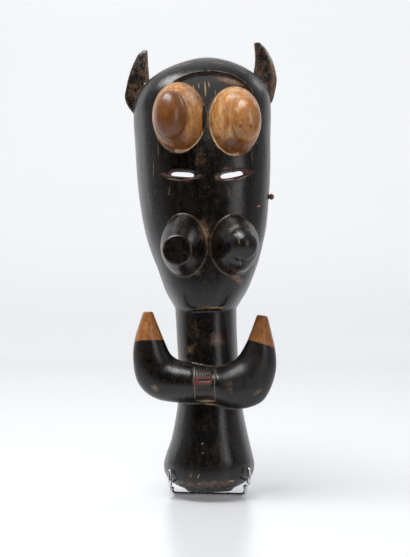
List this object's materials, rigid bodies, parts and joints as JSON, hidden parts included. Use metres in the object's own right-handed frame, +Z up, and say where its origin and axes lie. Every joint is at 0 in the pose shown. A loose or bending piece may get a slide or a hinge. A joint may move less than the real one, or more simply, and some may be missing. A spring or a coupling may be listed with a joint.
{
  "type": "carved wooden mask",
  "caption": "Long hooded wooden mask with ears, eye slits and projecting knobs, on a neck with curled arms and a flared base, leaning in a bent wire stand.",
  "frame": {"origin": "on the floor, under the middle of the overall box of mask and stand", "axes": "+Z up, -Y the way the face looks, +X to the viewer's right; the mask leans 9 degrees back and 1.3 degrees to the viewer's left"},
  "size_m": [0.1868, 0.1972, 0.5428],
  "materials": {
    "blackened_wood": "black stain, rubbed to a gloss, bare wood on the upper knobs and arm tips, red pigment in the slits' rims and the panel",
    "peg_wood": "bare brown wood",
    "chromed_wire": "bright"
  },
  "bodies": {
    "root": {"mask": "blackened_wood", "side_peg": "peg_wood", "stand_rest": "chromed_wire", "stand_foot": "chromed_wire", "stand_prop": "chromed_wire"}
  },
  "joints": []
}
